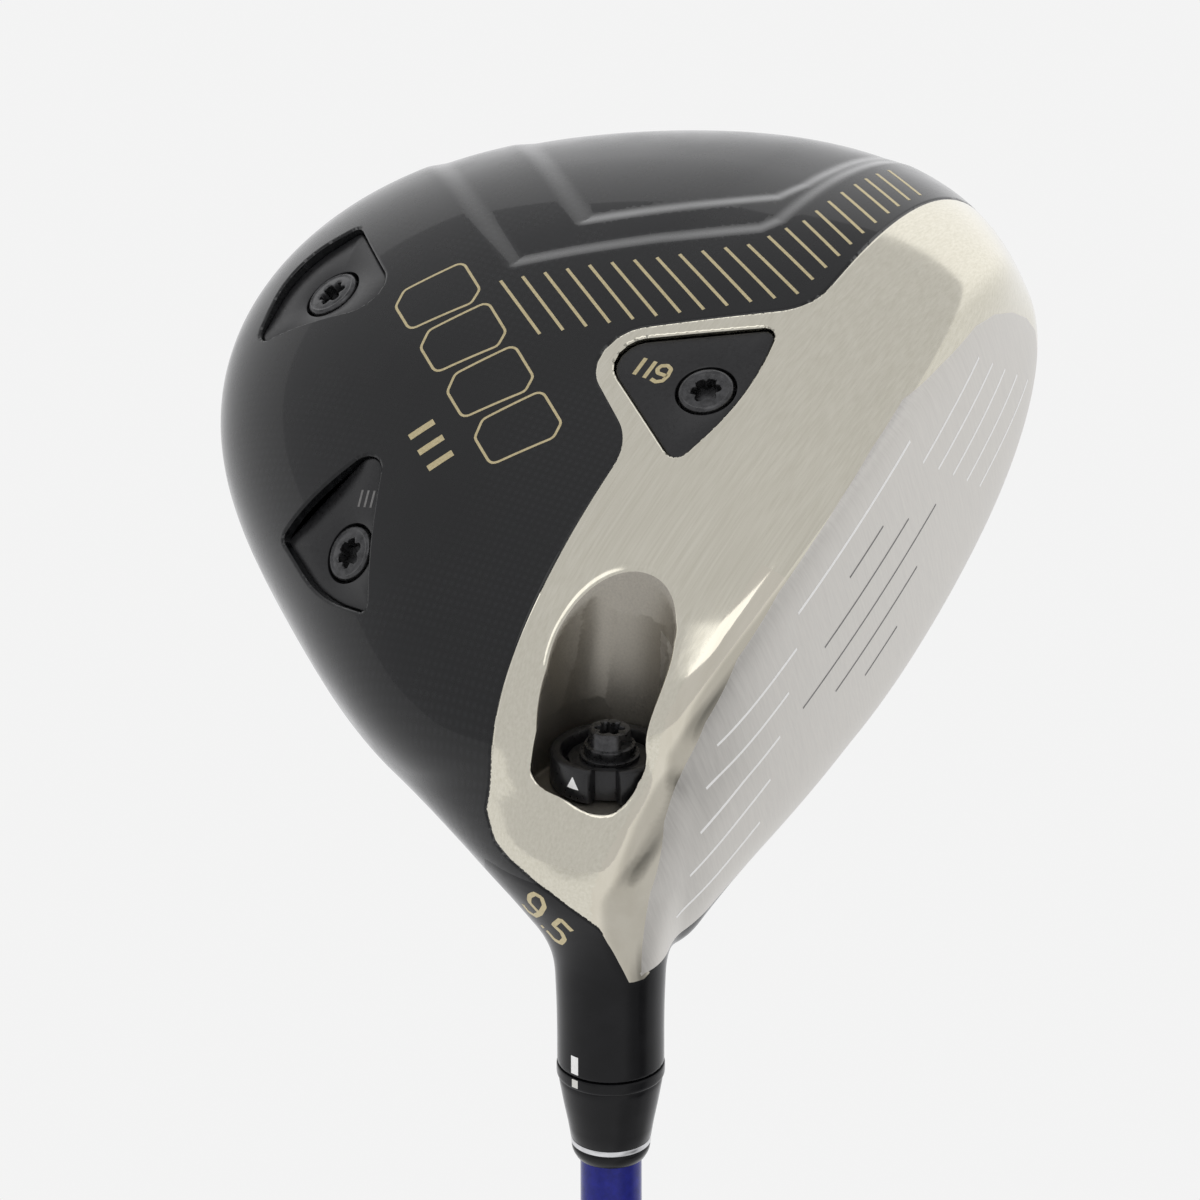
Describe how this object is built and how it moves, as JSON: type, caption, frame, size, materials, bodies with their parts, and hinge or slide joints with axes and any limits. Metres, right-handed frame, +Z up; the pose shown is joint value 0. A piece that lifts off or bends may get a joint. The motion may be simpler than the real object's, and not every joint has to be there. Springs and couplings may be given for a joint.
{
  "type": "golf driver",
  "caption": "Right-handed golf driver: hollow titanium and carbon head, screw-in sole weights, adjustable hosel, tapered shaft and rubber grip.",
  "frame": {"origin": "the point where the sole touches the ground, below the head's weighting centre line", "axes": "+Z up, the face looks towards -Y, the toe points to -X and the shaft leans towards +X at the lie angle"},
  "size_m": [0.6942, 0.1128, 0.9957],
  "materials": {
    "titanium": "polished titanium with fine brush marks",
    "face_titanium": "satin, shot-blasted titanium",
    "carbon": "clear-coated carbon weave",
    "carbon_gloss": "gloss black over carbon",
    "black_titanium": "gloss black paint",
    "port_metal": "dark coated metal",
    "weight_black": "satin black",
    "nylon": "natural nylon",
    "black_steel": "black oxide steel",
    "steel": "polished steel",
    "dial_black": "anodised black",
    "alloy": "machined alloy",
    "ferrule_black": "gloss black",
    "shaft_blue": "deep blue gloss lacquer",
    "tape": "double-sided paper tape",
    "rubber": "soft matt rubber"
  },
  "bodies": {
    "head": {"front_body": "titanium", "face_plate": "face_titanium", "rear_shell": "carbon", "crown_panel": "carbon_gloss", "hosel_tube": "black_titanium", "sole_ribs": "titanium", "front_weight_port": "port_metal", "heel_weight_port": "port_metal", "toe_weight_port": "port_metal"},
    "front_weight": {"front_weight": "weight_black", "front_weight_washer": "nylon"},
    "front_weight_screw": {"front_weight_screw": "black_steel"},
    "heel_weight": {"heel_weight": "weight_black", "heel_weight_washer": "nylon"},
    "heel_weight_screw": {"heel_weight_screw": "black_steel"},
    "toe_weight": {"toe_weight": "weight_black", "toe_weight_washer": "nylon"},
    "toe_weight_screw": {"toe_weight_screw": "black_steel"},
    "dial": {"adjusting_dial": "dial_black", "angle_sleeve": "alloy", "screw_grommet": "nylon"},
    "lock_washer": {"screw_washer": "steel"},
    "lock_screw": {"hosel_screw": "black_steel"},
    "shaft_assembly": {"shaft_adapter": "alloy", "collar_ring": "ferrule_black", "ferrule": "ferrule_black", "trim_ring": "steel", "ferrule_tip": "ferrule_black", "shaft": "shaft_blue", "tip_plug": "nylon", "grip_tape": "tape", "grip": "rubber", "grip_cap": "rubber"}
  },
  "joints": [
    {"name": "front_weight_slide", "type": "slide", "parent": "head", "child": "front_weight", "axis": [-0.1004, -0.0751, -0.9921], "range_m": [0, 0.008]},
    {"name": "front_weight_screw_turn", "type": "hinge", "parent": "front_weight", "child": "front_weight_screw", "pos_m": [-0.0154, -0.024, 0.0022], "axis": [-0.1004, -0.0751, -0.9921], "range_deg": [0, 3601]},
    {"name": "heel_weight_slide", "type": "slide", "parent": "head", "child": "heel_weight", "axis": [0.4031, 0.2802, -0.8712], "range_m": [0, 0.008]},
    {"name": "heel_weight_screw_turn", "type": "hinge", "parent": "heel_weight", "child": "heel_weight_screw", "pos_m": [0.0234, 0.0148, 0.0055], "axis": [0.4031, 0.2802, -0.8712], "range_deg": [0, 3601]},
    {"name": "toe_weight_slide", "type": "slide", "parent": "head", "child": "toe_weight", "axis": [-0.0487, 0.3468, -0.9367], "range_m": [0, 0.008]},
    {"name": "toe_weight_screw_turn", "type": "hinge", "parent": "toe_weight", "child": "toe_weight_screw", "pos_m": [-0.0157, 0.0414, 0.005], "axis": [-0.0487, 0.3468, -0.9367], "range_deg": [0, 3601]},
    {"name": "dial_turn", "type": "hinge", "parent": "head", "child": "dial", "pos_m": [0.03575, -0.0339, 0.01723], "axis": [0.5075, 0, 0.8616], "range_deg": [-180, 180]},
    {"name": "lock_screw_slide", "type": "slide", "parent": "head", "child": "lock_washer", "axis": [-0.5075, 0, -0.8616], "range_m": [0, 0.009]},
    {"name": "lock_screw_turn", "type": "hinge", "parent": "lock_washer", "child": "lock_screw", "pos_m": [0.03423, -0.0339, 0.01465], "axis": [-0.5075, 0, -0.8616], "range_deg": [0, 4051]},
    {"name": "shaft_slide", "type": "slide", "parent": "head", "child": "shaft_assembly", "axis": [0.5075, 0, 0.8616], "range_m": [0, 0.04]}
  ],
  "couplings": [
    {"joint": "front_weight_screw_turn", "follows": "front_weight_slide", "rad_per_m": 7854},
    {"joint": "heel_weight_screw_turn", "follows": "heel_weight_slide", "rad_per_m": 7854},
    {"joint": "toe_weight_screw_turn", "follows": "toe_weight_slide", "rad_per_m": 7854},
    {"joint": "lock_screw_turn", "follows": "lock_screw_slide", "rad_per_m": 7854}
  ]
}
